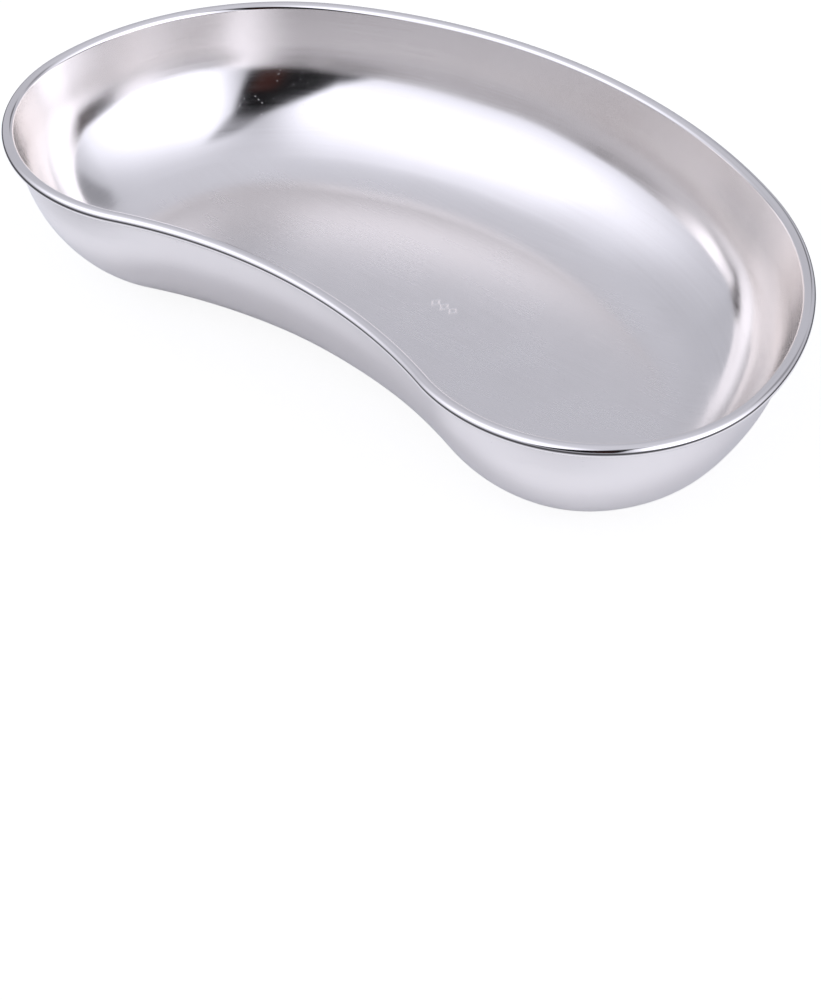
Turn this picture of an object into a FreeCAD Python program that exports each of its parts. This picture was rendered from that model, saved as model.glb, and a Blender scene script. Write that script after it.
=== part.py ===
import FreeCAD, Part
import math
import os

from FreeCAD import Vector

# A kidney dish pressed from one sheet of stainless steel: a flat floor, a bowl-shaped wall and a rim
# that is rolled outwards into a hollow bead. Millimetres. +X runs along the dish, +Y towards its convex
# back, +Z up. The origin is on the surface that it stands on, under the middle of its outline.
#
# The plan is a chain of tangent arcs, drawn on the centreline of the rolled rim: one back arc, a nose
# arc and a shoulder arc on each lobe, and one waist arc that is hollow. Every ring of the dish is a
# section turned about the centres of those arcs.

# Driving dimensions: plan
length = 250.0  # over the rolled rim
width = 150.0  # over the rolled rim, from the back to the front of the shoulders
shoulder_radius = 50.5  # front half of each lobe
waist_depth = 13.8  # how far the hollow front lies behind the shoulders
back_half_angle = 28.7  # degrees of the back arc on each side of the middle

# Driving dimensions: section
height = 46.0  # from the standing surface to the top of the rim
sheet = 0.7  # thickness of the steel
wall_draft = 10.0  # lean of the straight upper wall, degrees from upright
bowl_radius = 46.0  # curve below the straight wall, on the outside
bowl_end_lean = 55.0  # lean at which that curve ends, degrees from upright
corner_radius = 24.3  # curve from there to the flat floor, on the outside

# Driving dimensions: rolled rim
roll_diameter = 3.5  # outside diameter of the hollow bead
roll_gap = 0.15  # between the cut edge of the roll and the wall behind it

roll_radius = roll_diameter / 2
roll_centre = Vector(0, 0, height - roll_radius)  # in the section plane, where X = 0 is the centreline
floor_lean = 90.0  # degrees from upright


def polar(radius, degrees):
    """A vector in the section plane, X outwards and Z up, by its length and its angle from X."""
    angle = math.radians(degrees)
    return Vector(radius * math.cos(angle), 0, radius * math.sin(angle))


def square_in(distance, lean):
    """A vector square to a wall of that lean, towards the inside of the dish."""
    return polar(distance, 180 - lean)


def lean_drop(radius, lean_from, lean_to):
    """How far an arc goes down while its lean grows from one angle to the other."""
    return radius * (math.sin(math.radians(lean_to)) - math.sin(math.radians(lean_from)))


def arc_edge(centre, radius, angles, vector):
    """The circular edge from the first angle to the last one, with vector() as the polar form."""
    start, end = angles
    points = [centre + vector(radius, angle) for angle in (start, (start + end) / 2, end)]
    return Part.Arc(*points).toShape()


def plan_arcs():
    """The six arcs of the rim's centreline, in order: (centre, radius, start, end, side) each.

    Start and end are degrees from +X. Side is 1 where the dish lies inside the arc's circle, and -1 at
    the waist, where it lies outside.
    """
    half_length = length / 2 - roll_radius
    half_width = width / 2 - roll_radius
    tip_y = shoulder_radius - half_width  # where each lobe's nose arc meets its shoulder arc
    back_depth = half_width - tip_y

    # the back arc and the nose arc meet at the back angle, and the nose arc ends at the tip
    sine = math.sin(math.radians(back_half_angle))
    cosine = math.cos(math.radians(back_half_angle))
    share = sine + cosine - 1
    back_radius = (half_length * cosine - back_depth * (1 - sine)) / share
    nose_radius = (back_depth * sine - half_length * (1 - cosine)) / share
    nose_x = half_length - nose_radius
    nose_start = 90 - back_half_angle

    # the waist arc touches both shoulder arcs
    shoulder_x = half_length - shoulder_radius
    waist_half_angle = 2 * math.degrees(math.atan(waist_depth / shoulder_x))
    reach = shoulder_x / math.sin(math.radians(waist_half_angle))  # between their centres
    waist_radius = reach - shoulder_radius
    waist_y = tip_y - reach * math.cos(math.radians(waist_half_angle))

    return [
        (Vector(0, half_width - back_radius), back_radius, nose_start, 180 - nose_start, 1),
        (Vector(-nose_x, tip_y), nose_radius, 180 - nose_start, 180, 1),
        (Vector(-shoulder_x, tip_y), shoulder_radius, 180, 270 + waist_half_angle, 1),
        (Vector(0, waist_y), waist_radius, 90 + waist_half_angle, 90 - waist_half_angle, -1),
        (Vector(shoulder_x, tip_y), shoulder_radius, 270 - waist_half_angle, 360, 1),
        (Vector(nose_x, tip_y), nose_radius, 0, nose_start, 1),
    ]


def ring(section):
    """Carries a closed section, drawn in the section plane, round the whole plan as one solid."""
    origin, up = Vector(0, 0, 0), Vector(0, 0, 1)
    pieces = []
    for centre, radius, start, end, side in plan_arcs():
        face = Part.Face(section)
        if side < 0:
            face = face.mirror(origin, Vector(1, 0, 0))
        face.translate(Vector(radius, 0, 0))
        face.rotate(origin, up, min(start, end))
        piece = face.revolve(origin, up, abs(end - start))
        piece.translate(centre)
        pieces.append(piece)
    return pieces[0].fuse(pieces[1:]).removeSplitter().Solids[0]


def floor_face(inset):
    """The flat face that lies that far inside the rim's centreline, on the standing surface."""

    def level(radius, degrees):
        return Vector(radius * math.cos(math.radians(degrees)), radius * math.sin(math.radians(degrees)), 0)

    edges = [
        arc_edge(centre, radius - side * inset, (start, end), level)
        for centre, radius, start, end, side in plan_arcs()
    ]
    return Part.Face(Part.Wire(edges))


def wall_stations():
    """The outside of the wall's section: its four stations from the top down, and its two arcs' centres."""
    top = roll_centre + square_in(roll_radius - sheet, wall_draft)
    bowl_drop = lean_drop(bowl_radius, wall_draft, bowl_end_lean)
    corner_drop = lean_drop(corner_radius, bowl_end_lean, floor_lean)
    straight = (top.z - bowl_drop - corner_drop) / math.cos(math.radians(wall_draft))

    bowl_start = top + square_in(straight, wall_draft - 90)  # down along the lean
    bowl_centre = bowl_start + square_in(bowl_radius, wall_draft)
    bowl_end = bowl_centre - square_in(bowl_radius, bowl_end_lean)
    corner_centre = bowl_end + square_in(corner_radius, bowl_end_lean)
    floor_edge = corner_centre - square_in(corner_radius, floor_lean)
    return (top, bowl_start, bowl_end, floor_edge), (bowl_centre, corner_centre)


def wall_section():
    """The wall's closed section: a straight upper part, the bowl curve and the corner to the floor."""
    (top, bowl_start, _, floor_edge), (bowl_centre, corner_centre) = wall_stations()
    depth = square_in(sheet, wall_draft)
    floor_top = floor_edge + square_in(sheet, floor_lean)

    def outwards(radius, lean):
        return -square_in(radius, lean)

    def curves(offset):
        bowl = arc_edge(bowl_centre, bowl_radius - offset, (wall_draft, bowl_end_lean), outwards)
        corner = arc_edge(corner_centre, corner_radius - offset, (bowl_end_lean, floor_lean), outwards)
        return [bowl, corner]

    down = [Part.makeLine(top, bowl_start)] + curves(0)
    up = curves(sheet)[::-1] + [Part.makeLine(bowl_start + depth, top + depth)]
    return Part.Wire(down + [Part.makeLine(floor_edge, floor_top)] + up + [Part.makeLine(top + depth, top)])


def roll_section():
    """The rolled rim's closed section: a hollow curl from the top of the wall, over and back under."""
    start = 180 - wall_draft
    shortfall = math.degrees(math.acos((roll_radius - sheet - roll_gap) / roll_radius))
    end = start + shortfall - 360  # over the top, outwards and round to below the start
    inner_radius = roll_radius - sheet

    def cut(angle):
        return Part.makeLine(*[roll_centre + polar(radius, angle) for radius in (roll_radius, inner_radius)])

    outside = arc_edge(roll_centre, roll_radius, (start, end), polar)
    inside = arc_edge(roll_centre, inner_radius, (start, end), polar)
    return Part.Wire([outside, cut(end), inside, cut(start)])


def floor_panel():
    """The flat floor, out to where the wall starts to curve up."""
    stations, _ = wall_stations()
    inset = -stations[-1].x
    return floor_face(inset).extrude(Vector(0, 0, sheet))


def bowl_wall():
    """The wall, from the edge of the floor to where the rim starts to roll."""
    return ring(wall_section())


def rolled_rim():
    """The hollow bead along the whole edge."""
    return ring(roll_section())


os.makedirs("parts", exist_ok=True)
for build in (floor_panel, bowl_wall, rolled_rim):
    shape = build()
    shape.exportStep(os.path.join("parts", build.__name__ + ".step"))
    box = shape.optimalBoundingBox()
    size = f"{box.XLength:.2f} x {box.YLength:.2f} x {box.ZLength:.2f} mm"
    print(f"{build.__name__}: {shape.ShapeType}, valid {shape.isValid()}, {shape.Volume:.1f} mm3, {size}")
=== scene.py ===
import math

import bpy
import numpy as np
from mathutils import Matrix, Vector


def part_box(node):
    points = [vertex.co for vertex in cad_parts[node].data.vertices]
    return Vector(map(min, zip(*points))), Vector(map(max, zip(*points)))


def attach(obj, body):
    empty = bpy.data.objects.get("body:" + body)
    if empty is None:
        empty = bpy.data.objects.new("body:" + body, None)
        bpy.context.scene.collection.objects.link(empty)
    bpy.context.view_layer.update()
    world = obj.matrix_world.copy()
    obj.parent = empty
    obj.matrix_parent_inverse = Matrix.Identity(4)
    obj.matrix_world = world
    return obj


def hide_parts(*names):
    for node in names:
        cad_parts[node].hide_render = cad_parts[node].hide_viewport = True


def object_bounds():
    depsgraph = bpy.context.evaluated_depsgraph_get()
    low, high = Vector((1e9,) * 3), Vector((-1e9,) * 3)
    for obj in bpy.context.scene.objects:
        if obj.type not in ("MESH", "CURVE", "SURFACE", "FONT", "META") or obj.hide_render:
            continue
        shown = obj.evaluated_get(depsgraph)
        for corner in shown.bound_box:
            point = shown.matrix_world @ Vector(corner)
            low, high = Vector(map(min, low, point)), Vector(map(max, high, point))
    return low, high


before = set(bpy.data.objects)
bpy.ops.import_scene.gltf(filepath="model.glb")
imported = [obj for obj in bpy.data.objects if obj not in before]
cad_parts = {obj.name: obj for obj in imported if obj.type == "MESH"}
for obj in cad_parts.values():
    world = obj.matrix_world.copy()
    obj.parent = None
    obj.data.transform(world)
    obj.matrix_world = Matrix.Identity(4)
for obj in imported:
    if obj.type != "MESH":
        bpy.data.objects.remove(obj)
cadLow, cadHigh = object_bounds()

# the dish's own measures, in metres; the overall sizes come from the frame
dish = {
    "length": round(cadHigh.x - cadLow.x, 3),
    "width": round(cadHigh.y - cadLow.y, 3),
    "height": round(cadHigh.z - cadLow.z, 3),
    "sheet": round(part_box("floor_panel")[1].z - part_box("floor_panel")[0].z, 4),
    "shoulderRadius": 0.0505,
    "waistDepth": 0.0138,
    "backHalfAngle": math.radians(28.7),
    "rollRadius": 0.00175,
    "rollGap": 0.00015,
    "stepsRound": 640,  # columns round the dish, the same for all pieces so that their seams meet
}


def planArcs():
    # the plan is six tangent arcs on the bead's centreline:
    # rows of centre x, centre y, radius, start and end angle from +X (counter-clockwise), side.
    # side is 1 where the dish lies inside the circle and -1 at the waist, where it lies outside
    halfLength = dish["length"] / 2 - dish["rollRadius"]
    halfWidth = dish["width"] / 2 - dish["rollRadius"]
    shoulder = dish["shoulderRadius"]
    tipY = shoulder - halfWidth
    backDepth = halfWidth - tipY
    turn = dish["backHalfAngle"]
    share = math.sin(turn) + math.cos(turn) - 1
    backRadius = (halfLength * math.cos(turn) - backDepth * (1 - math.sin(turn))) / share
    noseRadius = (backDepth * math.sin(turn) - halfLength * (1 - math.cos(turn))) / share
    noseX = halfLength - noseRadius
    shoulderX = halfLength - shoulder
    waistTurn = 2 * math.atan(dish["waistDepth"] / shoulderX)
    reach = shoulderX / math.sin(waistTurn)
    waistY = tipY - reach * math.cos(waistTurn)
    half = math.pi / 2
    return np.array([
        (0, halfWidth - backRadius, backRadius, half - turn, half + turn, 1),
        (-noseX, tipY, noseRadius, half + turn, 2 * half, 1),
        (-shoulderX, tipY, shoulder, 2 * half, 3 * half + waistTurn, 1),
        (0, waistY, reach - shoulder, half + waistTurn, half - waistTurn, -1),
        (shoulderX, tipY, shoulder, 3 * half - waistTurn, 4 * half, 1),
        (noseX, tipY, noseRadius, 0, half - turn, 1),
    ])


def planLine():
    # points on the centreline and unit vectors into the dish, with steps of about equal length;
    # each arc gets a share of the columns by its length, so an arc always starts on a column
    arcs = planArcs()
    lengths = arcs[:, 2] * np.abs(arcs[:, 4] - arcs[:, 3])
    ends = np.round(np.cumsum(lengths) / lengths.sum() * dish["stepsRound"]).astype(int)
    counts = np.diff(np.concatenate([[0], ends]))
    points, inwards = [], []
    for (cx, cy, radius, start, end, side), count in zip(arcs, counts):
        angles = start + (end - start) * np.arange(count) / count
        spoke = np.column_stack([np.cos(angles), np.sin(angles)])
        points.append(np.array([cx, cy]) + radius * spoke)
        inwards.append(-side * spoke)
    return np.vstack(points), np.vstack(inwards)


planPoints, planInwards = planLine()
along = np.concatenate([[0], np.cumsum(np.linalg.norm(np.diff(planPoints, axis=0), axis=1))])


def ringGrid(inset, level):
    # grid[row, column] = centreline point + inset * inward vector, at that level
    flat = planPoints[None] + inset[:, None, None] * planInwards[None]
    levels = np.broadcast_to(level[:, None, None], (len(level), len(planPoints), 1))
    return np.concatenate([flat, levels], axis=2)


# the wall's section; rows count the mesh's steps down each part
wall = {
    "draft": math.radians(10),  # lean of the straight upper wall from upright
    "bowlRadius": 0.046,
    "bowlEndLean": math.radians(55),
    "cornerRadius": 0.0243,
    "straightRows": 12,
    "bowlRows": 26,
    "cornerRows": 22,
    "endRows": 2,
    "waveHeight": 0.00005,  # hand-worked sheet is never quite even
    # each wave: height's share, turns round the dish, drift in radians down the wall, phase
    "waves": ((1.0, 9, 5, 0), (0.8, 15, -7, 1)),
}


def wallOutside():
    # outside of the wall from the roll down: a straight, an arc to the bowl's end lean, an arc to flat.
    # returns inset, level and lean for every row; the point at lean a on an arc is centre - radius * normal
    draft, endLean, flat = wall["draft"], wall["bowlEndLean"], math.pi / 2
    rollLevel = dish["height"] - dish["rollRadius"]
    topInset = (dish["rollRadius"] - dish["sheet"]) * math.cos(draft)
    topLevel = rollLevel + (dish["rollRadius"] - dish["sheet"]) * math.sin(draft)
    bowlDrop = wall["bowlRadius"] * (math.sin(endLean) - math.sin(draft))
    cornerDrop = wall["cornerRadius"] * (1 - math.sin(endLean))
    straightDrop = topLevel - bowlDrop - cornerDrop
    t = np.linspace(0, 1, wall["straightRows"])
    inset = [topInset + t * straightDrop * math.tan(draft)]
    level = [topLevel - t * straightDrop]
    lean = [np.full(len(t), draft)]
    for radius, first, last, rows in (
        (wall["bowlRadius"], draft, endLean, wall["bowlRows"]),
        (wall["cornerRadius"], endLean, flat, wall["cornerRows"]),
    ):
        a = np.linspace(first, last, rows + 1)[1:]
        inset.append(inset[-1][-1] + radius * (math.cos(first) - np.cos(a)))
        level.append(level[-1][-1] - radius * (np.sin(a) - math.sin(first)))
        lean.append(a)
    return np.concatenate(inset), np.concatenate(level), np.concatenate(lean)


def gridNormals(grid):
    # normal = row tangent x column tangent, by differences; the columns always close round the dish
    across = np.roll(grid, -1, axis=1) - np.roll(grid, 1, axis=1)
    down = np.gradient(grid, axis=0, edge_order=2)
    normal = np.cross(down, across)
    return normal / np.maximum(np.linalg.norm(normal, axis=2, keepdims=True), 1e-15)


def gridCorners(values, closedRows):
    # the four corners of every quad of a grid, from per-point values or indices: [quads, 4, ...]
    below = np.roll(values, -1, axis=0) if closedRows else values[1:]
    above = values if closedRows else values[:-1]
    corners = [above, below, np.roll(below, -1, axis=1), np.roll(above, -1, axis=1)]
    stacked = np.stack(corners, axis=2)
    return stacked.reshape((-1, 4) + values.shape[2:])


def makeMesh(name, points, faces, cornerNormals):
    # faces is a list of index arrays, one row per face; corner normals follow the same order
    mesh = bpy.data.meshes.new(name)
    corners = np.concatenate([f.ravel() for f in faces]).astype(np.int32)
    sides = np.concatenate([np.full(len(f), f.shape[1]) for f in faces])
    starts = np.concatenate([[0], np.cumsum(sides)[:-1]]).astype(np.int32)
    mesh.vertices.add(len(points))
    mesh.vertices.foreach_set("co", points.astype(np.float32).ravel())
    mesh.loops.add(len(corners))
    mesh.loops.foreach_set("vertex_index", corners)
    mesh.polygons.add(len(starts))
    mesh.polygons.foreach_set("loop_start", starts)
    mesh.polygons.foreach_set("use_smooth", np.ones(len(starts), bool))
    mesh.update(calc_edges=True)
    mesh.normals_split_custom_set(np.concatenate([n.reshape(-1, 3) for n in cornerNormals]))
    piece = bpy.data.objects.new(name, mesh)
    bpy.context.scene.collection.objects.link(piece)
    return piece


def makeTube(name, patches):
    # a closed shell round the dish from the faces of its section, in order; each patch is a grid whose
    # last row is the next patch's first row, and keeps its own normals, so the corners stay crisp
    rows = np.concatenate([p[:-1] for p in patches])
    index = np.arange(rows.shape[0] * rows.shape[1]).reshape(rows.shape[:2])
    normals = np.concatenate([gridCorners(gridNormals(p), False) for p in patches])
    print(name, "rows", rows.shape[0], "columns", rows.shape[1])
    return makeMesh(name, rows.reshape(-1, 3), [gridCorners(index, True)], [normals])


def endPatch(first, second, steps):
    # a straight strip between two rows of points
    t = np.linspace(0, 1, steps)[:, None, None]
    return first[None] * (1 - t) + second[None] * t


def wallWave(rows):
    # slow waves round and down the wall, the same on both faces, dying out at the floor and the rim:
    # height * sum of share * sin(turns * angle + drift * t + phase), times sin squared of the way down
    t = np.linspace(0, 1, rows)[:, None]
    wholeWay = along[-1] + np.linalg.norm(planPoints[0] - planPoints[-1])
    angle = 2 * math.pi * along[None] / wholeWay
    waves = sum(share * np.sin(n * angle + drift * t + phase) for share, n, drift, phase in wall["waves"])
    return wall["waveHeight"] * waves * np.sin(math.pi * t) ** 2


def buildWall():
    # outside going down, cut at the floor, inside going up, cut at the rim; the inside is the outside
    # moved along the normal by the sheet
    inset, level, lean = wallOutside()
    outside = ringGrid(inset, level)
    inside = ringGrid(inset + dish["sheet"] * np.cos(lean), level + dish["sheet"] * np.sin(lean))
    wave = gridNormals(outside) * wallWave(len(inset))[:, :, None]
    outside, inside = outside + wave, inside + wave
    cutFloor = endPatch(outside[-1], inside[-1], wall["endRows"] + 1)
    cutRim = endPatch(inside[0], outside[0], wall["endRows"] + 1)
    return makeTube("bowlWall", [outside, cutFloor, inside[::-1], cutRim])


roll = {"outerRows": 44, "innerRows": 20, "endRows": 2}


def buildRim():
    # a hollow curl: point = roll centre + radius * (cos a, sin a), with a running over the top and outwards
    start = math.pi - wall["draft"]
    innerRadius = dish["rollRadius"] - dish["sheet"]
    shortfall = math.acos((innerRadius - dish["rollGap"]) / dish["rollRadius"])
    end = start + shortfall - 2 * math.pi
    centreLevel = dish["height"] - dish["rollRadius"]
    faces = []
    for radius, rows in ((dish["rollRadius"], roll["outerRows"]), (innerRadius, roll["innerRows"])):
        a = np.linspace(start, end, rows)
        faces.append(ringGrid(-radius * np.cos(a), centreLevel + radius * np.sin(a)))
    outer, inner = faces
    cutEnd = endPatch(outer[-1], inner[-1], roll["endRows"] + 1)
    cutStart = endPatch(inner[0], outer[0], roll["endRows"] + 1)
    return makeTube("rolledRim", [outer, cutEnd, inner[::-1], cutStart])


floor = {
    "markCentre": (0.005, 0.002),
    "discRadius": 0.0075,  # evenly meshed disc that carries the stamped mark
    "discRows": 100,
    "spreadRows": 26,
    "underRows": 8,
    "edgeRows": 2,
    "lozenges": (-0.0032, 0.0, 0.0032),  # places of the mark's three lozenges along X
    "lozengeHalf": (0.00115, 0.0016),
    "lineWidth": 0.00022,
    "lineDepth": 0.00014,
}


def markDepth(points):
    # three plain lozenge outlines, pressed in:
    # depth * exp(-(distance to the nearest outline / width) squared)
    halfX, halfY = floor["lozengeHalf"]
    across = halfX * halfY / math.hypot(halfX, halfY)
    depth = np.zeros(points.shape[:-1])
    for place in floor["lozenges"]:
        u = np.abs(points[..., 0] - floor["markCentre"][0] - place) / halfX
        v = np.abs(points[..., 1] - floor["markCentre"][1]) / halfY
        depth = np.maximum(depth, np.exp(-(((u + v - 1) * across / floor["lineWidth"]) ** 2)))
    return depth * floor["lineDepth"]


def buildFloor():
    # top: an even disc about the mark, then rows that spread out to the floor's edge:
    # point = (1 - s) * disc rim + s * edge. Below: the same rows without the disc
    insetEdge = wallOutside()[0][-1]
    edge = ringGrid(np.array([insetEdge]), np.zeros(1))[0]
    centre = np.array([*floor["markCentre"], 0])
    angle = np.unwrap(np.arctan2(edge[:, 1] - centre[1], edge[:, 0] - centre[0]))
    even = angle[0] + np.arange(len(edge)) / len(edge) * 2 * math.pi * np.sign(angle[-1] - angle[0])
    spoke = np.column_stack([np.cos(even), np.sin(even), np.zeros(len(even))])
    disc = centre + floor["discRadius"] * np.linspace(0, 1, floor["discRows"])[1:, None, None] * spoke[None]
    s = np.linspace(0, 1, floor["spreadRows"])[1:, None, None]
    spread = disc[-1][None] * (1 - s) + edge[None] * s
    top = np.concatenate([disc, spread])
    top[:, :, 2] = dish["sheet"] - markDepth(top)
    s = np.linspace(1, 0, floor["underRows"])[:-1, None, None]
    under = centre * (1 - s) + edge[None] * s
    rim = endPatch(top[-1], under[0], floor["edgeRows"] + 1)
    shell = np.concatenate([top, rim[1:-1], under])
    rows, columns = shell.shape[:2]
    points = np.concatenate([shell.reshape(-1, 3), [centre + [0, 0, dish["sheet"]], centre]])
    index = np.arange(rows * columns).reshape(rows, columns)
    topPole, underPole = rows * columns, rows * columns + 1
    ring = index[0]
    topFan = np.column_stack([np.full(columns, topPole), ring, np.roll(ring, -1)])
    ring = index[-1]
    underFan = np.column_stack([np.full(columns, underPole), np.roll(ring, -1), ring])
    up, down = np.array([0, 0, 1.0]), np.array([0, 0, -1.0])
    normals = [gridCorners(gridNormals(p), False) for p in (top, rim, under)]
    fans = [np.broadcast_to(up, topFan.shape + (3,)), np.broadcast_to(down, underFan.shape + (3,))]
    print("floorPanel rows", rows, "columns", columns)
    return makeMesh("floorPanel", points, [gridCorners(index, False), topFan, underFan], normals + fans)


pieces = {"floor_panel": buildFloor(), "bowl_wall": buildWall(), "rolled_rim": buildRim()}
for node, piece in pieces.items():
    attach(piece, "root")
    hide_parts(node)


# angles in degrees, lens and sensor in millimetres, the rest in metres
view = {
    "azimuth": 38.91,
    "elevation": 42.70,
    "roll": 0.75,
    "lens": 81.18,
    "sensor": 36,
    "position": (0.3264, -0.4108, 0.4062),
    "clip": (0.01, 20),
}


def direction(azimuth, elevation):
    # unit vector; azimuth 0 is towards -Y and 90 towards +X
    a, e = math.radians(azimuth), math.radians(elevation)
    return Vector((math.sin(a) * math.cos(e), -math.cos(a) * math.cos(e), math.sin(e)))


def buildCamera():
    # stands at the place that gives the dish its perspective, turned a little about its own axis
    azimuth, turn = math.radians(view["azimuth"]), math.radians(view["roll"])
    back = direction(view["azimuth"], view["elevation"])
    right = Vector((math.cos(azimuth), math.sin(azimuth), 0))
    up = back.cross(right)
    sideways = right * math.cos(turn) + up * math.sin(turn)
    upwards = up * math.cos(turn) - right * math.sin(turn)
    data = bpy.data.cameras.new("camera")
    data.lens, data.sensor_width = view["lens"], view["sensor"]
    data.clip_start, data.clip_end = view["clip"]
    camera = bpy.data.objects.new("camera", data)
    camera.matrix_world = Matrix((sideways, upwards, back)).transposed().to_4x4()
    camera.location = view["position"]
    bpy.context.scene.collection.objects.link(camera)
    bpy.context.scene.camera = camera


buildCamera()


def newNode(tree, kind, inputs=(), **settings):
    # a node with its settings and input values; an input is a number, a vector or another node's socket
    node = tree.nodes.new(kind)
    for key, value in settings.items():
        setattr(node, key, value)
    for key, value in dict(inputs).items():
        if isinstance(value, bpy.types.NodeSocket):
            tree.links.new(value, node.inputs[key])
        else:
            node.inputs[key].default_value = value
    return node


def math2(tree, operation, a, b):
    return newNode(tree, "ShaderNodeMath", {0: a, 1: b}, operation=operation).outputs[0]


def ramp(tree, value, low, high, toLow=0.0, toHigh=1.0, smooth=True):
    inputs = {"Value": value, "From Min": low, "From Max": high, "To Min": toLow, "To Max": toHigh}
    kind = "SMOOTHSTEP" if smooth else "LINEAR"
    return newNode(tree, "ShaderNodeMapRange", inputs, interpolation_type=kind).outputs["Result"]


# what stands round the dish, as soft-edged panels seen from it. Corners are azimuth and elevation in
# degrees; each side, in the corners' order, has its own softness, as a difference of sines. Boxes add
# their light, and cards take away that share of what is there
studio = {
    "tint": (0.912, 0.937, 1.075),
    "base": 0.60,
    "top": 0.14,  # more light from overhead
    "topReach": (0.55, 1.0),  # sine of the elevation
    "boxes": {
        "left": {
            "corners": [(-58, 7), (38, 7), (40, 52), (-58, 52)],
            "edges": [0.9, 0.3, 0.95, 0.8],
            "light": 0.92,
        },
        "right": {
            "corners": [(62, -12), (126, -12), (120, 48), (66, 48)],
            "edges": [0.4, 1.0, 0.8, 0.45],
            "light": 1.3,
        },
    },
    "cards": {
        "backRight": {
            "corners": [(148, 18), (168, 18), (168, 42), (148, 42)],
            "edges": [0.16, 0.16, 0.16, 0.16],
            "light": 0.4,
        },
        "boom": {
            "corners": [(43, 40), (63, 40), (88, 56), (64, 56)],
            "edges": [0.1, 0.08, 0.14, 0.1],
            "light": 0.62,
        },
        "backLeft": {
            "corners": [(-175, 18), (-156, 18), (-156, 30), (-175, 30)],
            "edges": [0.12, 0.12, 0.12, 0.12],
            "light": 0.65,
        },
        "dark": {
            "corners": [(1, -6), (49, -6), (64, 44), (46, 44)],
            "edges": [0.1, 0.05, 0.22, 0.07],
            "light": 0.99,
        },
    },
    "brown": {"corners": [(37, 10), (48, 10), (53, 26), (42, 26)], "edges": [0.1, 0.1, 0.1, 0.1]},
    "brownTint": (0.035, 0.009, 0.006),
    "background": 1.1,  # what the camera sees behind the dish
}


def panelMask(tree, towards, panel):
    # product over the panel's sides of a smooth step of direction . side normal, so it is 1 inside
    corners = [direction(*c) for c in panel["corners"]]
    middle = sum(corners, Vector((0, 0, 0)))
    mask = None
    for first, second, edge in zip(corners, corners[1:] + corners[:1], panel["edges"]):
        side = first.cross(second).normalized()
        if side.dot(middle) < 0:
            side = -side
        reach = newNode(tree, "ShaderNodeVectorMath", {0: towards, 1: side}, operation="DOT_PRODUCT")
        step = ramp(tree, reach.outputs["Value"], -edge / 2, edge / 2)
        mask = step if mask is None else math2(tree, "MULTIPLY", mask, step)
    return mask


def scaledColour(tree, colour, amount):
    inputs = {0: colour, "Scale": amount}
    return newNode(tree, "ShaderNodeVectorMath", inputs, operation="SCALE").outputs[0]


def buildWorld():
    # light = (base + overhead + boxes) * (1 - each card), tinted, with a brown patch in the dark card.
    # The camera itself sees a plain white background
    world = bpy.data.worlds.new("studio")
    bpy.context.scene.world = world
    world.use_nodes = True
    tree = world.node_tree
    tree.nodes.clear()
    towards = newNode(tree, "ShaderNodeTexCoord").outputs["Generated"]
    rise = newNode(tree, "ShaderNodeSeparateXYZ", {0: towards}).outputs["Z"]
    overhead = ramp(tree, rise, *studio["topReach"], 0.0, studio["top"])
    light = math2(tree, "ADD", studio["base"], overhead)
    for box in studio["boxes"].values():
        glow = math2(tree, "MULTIPLY", panelMask(tree, towards, box), box["light"])
        light = math2(tree, "ADD", light, glow)
    for card in studio["cards"].values():
        shade = math2(tree, "MULTIPLY", panelMask(tree, towards, card), card["light"])
        light = math2(tree, "MULTIPLY", light, math2(tree, "SUBTRACT", 1.0, shade))
    colour = scaledColour(tree, studio["tint"], light)
    warm = scaledColour(tree, studio["brownTint"], panelMask(tree, towards, studio["brown"]))
    colour = newNode(tree, "ShaderNodeVectorMath", {0: colour, 1: warm}, operation="ADD").outputs[0]
    lit = newNode(tree, "ShaderNodeBackground", {"Color": colour, "Strength": 1.0})
    white = {"Color": (1, 1, 1, 1), "Strength": studio["background"]}
    plain = newNode(tree, "ShaderNodeBackground", white)
    seen = newNode(tree, "ShaderNodeLightPath").outputs["Is Camera Ray"]
    mix = newNode(tree, "ShaderNodeMixShader", {0: seen, 1: lit.outputs[0], 2: plain.outputs[0]})
    newNode(tree, "ShaderNodeOutputWorld", {"Surface": mix.outputs[0]})
    print("studio light made")


table = {
    "radius": 4.0,
    "sides": 96,
    "drop": 0.0001,  # how far below the dish it lies
    "albedo": 0.9,
    # painted shade: the table's colour falls to this far off, standing in for a table lit only near the
    # dish
    "paintedShadeAlbedo": 0.1,
    "nearReach": (0.024, 0.06),  # from the dish, where the painted pool of light on the table ends
    "farReach": (0.11, 0.3),  # where the pale room beyond its painted dark surround begins
    "roomAlbedo": 0.4,
    "glow": (0.19, 0.195, 0.21),  # painted glow: light given off by the table itself, outside the dish only, standing in for light falling on it
    "glowEdge": (-0.002, 0.018),
    "white": 1.12,  # what the camera sees, with a part of the plain lit table for the shadow
    "shadowShare": 0.22,
}


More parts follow.
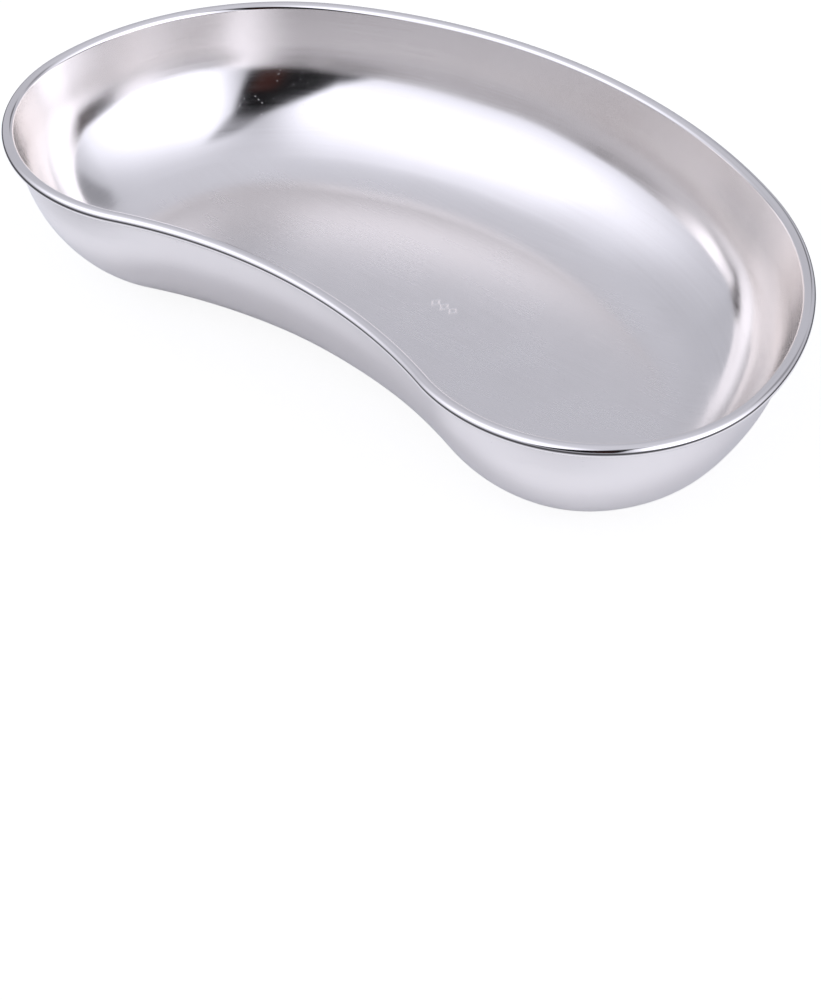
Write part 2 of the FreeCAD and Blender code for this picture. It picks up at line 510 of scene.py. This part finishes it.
def buildTable():
    # a plain pale table just under the dish. What the steel sees of it carries painted light: its colour
    # gets darker further off, a painted pool of light as on a small lit table; the camera sees it white
    # with only a light shadow
    angle = np.linspace(0, 2 * math.pi, table["sides"] + 1)[:-1]
    rim = np.column_stack([np.cos(angle), np.sin(angle), np.zeros(len(angle))]) * table["radius"]
    rim[:, 2] = -table["drop"]
    mesh = bpy.data.meshes.new("table")
    mesh.from_pydata(rim.tolist(), [], [list(range(len(rim)))])
    top = bpy.data.objects.new("table", mesh)
    bpy.context.scene.collection.objects.link(top)
    material = bpy.data.materials.new("paleTable")
    material.use_nodes = True
    tree = material.node_tree
    tree.nodes.clear()
    place = newNode(tree, "ShaderNodeTexCoord").outputs["Object"]
    # beyond = (distance from the middle, in the dish's own oval measure, - 1) * half width
    stretch = (1 / (dish["length"] / 2), 1 / (dish["width"] / 2), 0)
    oval = newNode(tree, "ShaderNodeVectorMath", {0: place, 1: stretch}, operation="MULTIPLY").outputs[0]
    reach = newNode(tree, "ShaderNodeVectorMath", {0: oval}, operation="LENGTH").outputs["Value"]
    beyond = math2(tree, "MULTIPLY", math2(tree, "SUBTRACT", reach, 1.0), dish["width"] / 2)
    # painted pool of light: the table's colour is bright near the dish, painted dark further off, then
    # paler where the room begins
    albedo = ramp(tree, beyond, *table["nearReach"], table["albedo"], table["paintedShadeAlbedo"])
    room = ramp(tree, beyond, *table["farReach"], 0.0, table["roomAlbedo"])
    albedo = math2(tree, "ADD", albedo, room)
    near = newNode(tree, "ShaderNodeBsdfDiffuse", {"Color": albedo}).outputs[0]
    # the painted glow lies outside the oval and in the waist's circle, leaving the table under the dish
    # without it, and ends with the lit table
    waistX, waistY, waistRadius = planArcs()[3][:3]
    waist = {0: place, 1: (waistX, waistY, 0)}
    fromWaist = newNode(tree, "ShaderNodeVectorMath", waist, operation="DISTANCE").outputs["Value"]
    intoWaist = math2(tree, "SUBTRACT", waistRadius, fromWaist)
    outside = ramp(tree, math2(tree, "MAXIMUM", beyond, intoWaist), *table["glowEdge"])
    outside = math2(tree, "MULTIPLY", outside, ramp(tree, beyond, *table["nearReach"], 1.0, 0.0))
    # painted glow on the table, seen only by the steel and not by the camera
    glow = newNode(tree, "ShaderNodeEmission", {"Color": (*table["glow"], 1), "Strength": outside})
    near = newNode(tree, "ShaderNodeAddShader", {0: near, 1: glow.outputs[0]}).outputs[0]
    plain = {"Color": (table["albedo"],) * 3 + (1,)}
    pale = newNode(tree, "ShaderNodeBsdfDiffuse", plain).outputs[0]
    bright = {"Color": (1, 1, 1, 1), "Strength": table["white"]}
    white = newNode(tree, "ShaderNodeEmission", bright).outputs[0]
    shown = newNode(tree, "ShaderNodeMixShader", {0: table["shadowShare"], 1: white, 2: pale}).outputs[0]
    seen = newNode(tree, "ShaderNodeLightPath").outputs["Is Camera Ray"]
    mix = newNode(tree, "ShaderNodeMixShader", {0: seen, 1: near, 2: shown}).outputs[0]
    newNode(tree, "ShaderNodeOutputMaterial", {"Surface": mix})
    mesh.materials.append(material)
    print("table made")


# scales are per metre, heights in metres
steel = {
    "colour": (0.868, 0.834, 0.807),
    "shade": (0.845, 0.808, 0.78),
    "panRoughness": (0.085, 0.135),
    "floorExtra": 0.15,  # the floor and the top of the wall are more worn than the bowl
    "topExtra": 0.12,
    "floorReach": (0.0012, 0.009),  # levels over which the floor's wear ends and the top's begins
    "topReach": (0.021, 0.034),
    "rimRoughness": (0.05, 0.09),
    "cloudScale": 45,
    "cloudShare": 0.55,
    "lineLength": 30,  # scale along the polishing lines
    "wallLines": 1900,  # scales across them
    "floorLines": 1500,
    "grainScale": 3600,
    "grainHeight": 0.0000011,
    "lineHeight": 0.00000025,
    "roughSpread": (0.3, 0.7),  # noise values that give the least and the most roughness
    "shadeSpread": (0.3, 0.6),
    "pitScale": 900,
    "pitRadius": 0.13,  # share of a pit's cell
    "pitDepth": 0.00004,
    "pitChance": (0.5, 0.8),
    "rimGrain": 0.25,  # the bead's grain and lines, as shares of the pan's
    "rimLines": 0.5,
}


def noise(tree, place, scales, detail=3.0):
    # noise with its own scale along each axis, so that it can be drawn out into lines
    scaled = newNode(tree, "ShaderNodeVectorMath", {0: place, 1: scales}, operation="MULTIPLY").outputs[0]
    inputs = {"Vector": scaled, "Scale": 1.0, "Detail": detail}
    return newNode(tree, "ShaderNodeTexNoise", inputs).outputs["Fac"]


def buildSteel(name, roughness, wear, grainHeight, lineHeight, pitDepth):
    # satin from fine grain and polishing lines that run round the wall, and along X on the floor
    material = bpy.data.materials.new(name)
    material.use_nodes = True
    tree = material.node_tree
    shader = tree.nodes["Principled BSDF"]
    place = newNode(tree, "ShaderNodeTexCoord").outputs["Object"]
    height = newNode(tree, "ShaderNodeSeparateXYZ", {0: place}).outputs["Z"]
    low = ramp(tree, height, *steel["floorReach"], 1.0, 0.0)
    high = ramp(tree, height, *steel["topReach"])
    cloud = noise(tree, place, (steel["cloudScale"],) * 3)
    grain = noise(tree, place, (steel["grainScale"],) * 3, 2.0)
    length = steel["lineLength"]
    roundLines = noise(tree, place, (length, length, steel["wallLines"]))
    floorLines = noise(tree, place, (length, steel["floorLines"], length))
    lines = newNode(tree, "ShaderNodeMix", {0: low, 2: roundLines, 3: floorLines}).outputs[0]
    share = steel["cloudShare"]
    cloudPart = math2(tree, "MULTIPLY", cloud, share)
    mixed = math2(tree, "ADD", cloudPart, math2(tree, "MULTIPLY", lines, 1 - share))
    rough = ramp(tree, mixed, *steel["roughSpread"], *roughness)
    for part, extra in ((low, steel["floorExtra"]), (high, steel["topExtra"])):
        rough = math2(tree, "ADD", rough, math2(tree, "MULTIPLY", part, extra * wear))
    tree.links.new(rough, shader.inputs["Roughness"])
    shade = ramp(tree, mixed, *steel["shadeSpread"])
    colours = {0: shade, 6: (*steel["shade"], 1), 7: (*steel["colour"], 1)}
    tint = newNode(tree, "ShaderNodeMix", colours, data_type="RGBA").outputs[2]
    tree.links.new(tint, shader.inputs["Base Color"])
    cells = newNode(tree, "ShaderNodeTexVoronoi", {"Vector": place, "Scale": steel["pitScale"]}).outputs
    chance = newNode(tree, "ShaderNodeSeparateColor", {0: cells["Color"]}).outputs[0]
    hollow = ramp(tree, cells["Distance"], 0.0, steel["pitRadius"], -pitDepth, 0.0)
    pit = math2(tree, "MULTIPLY", hollow, ramp(tree, chance, *steel["pitChance"]))
    worn = math2(tree, "MULTIPLY", grain, grainHeight)
    worn = math2(tree, "ADD", worn, math2(tree, "MULTIPLY", lines, lineHeight))
    worn = math2(tree, "ADD", worn, pit)
    bump = newNode(tree, "ShaderNodeBump", {"Height": worn, "Strength": 1.0, "Distance": 1.0})
    tree.links.new(bump.outputs["Normal"], shader.inputs["Normal"])
    shader.inputs["Metallic"].default_value = 1.0
    print(name, "made")
    return material


buildWorld()
buildTable()
height, line, pit = steel["grainHeight"], steel["lineHeight"], steel["pitDepth"]
satin = buildSteel("satinSteel", steel["panRoughness"], 1, height, line, pit)
height, line = height * steel["rimGrain"], line * steel["rimLines"]
polished = buildSteel("polishedSteel", steel["rimRoughness"], 0, height, line, 0.0)
for node, piece in pieces.items():
    piece.data.materials.append(polished if node == "rolled_rim" else satin)
bpy.context.scene.view_settings.view_transform = "Standard"
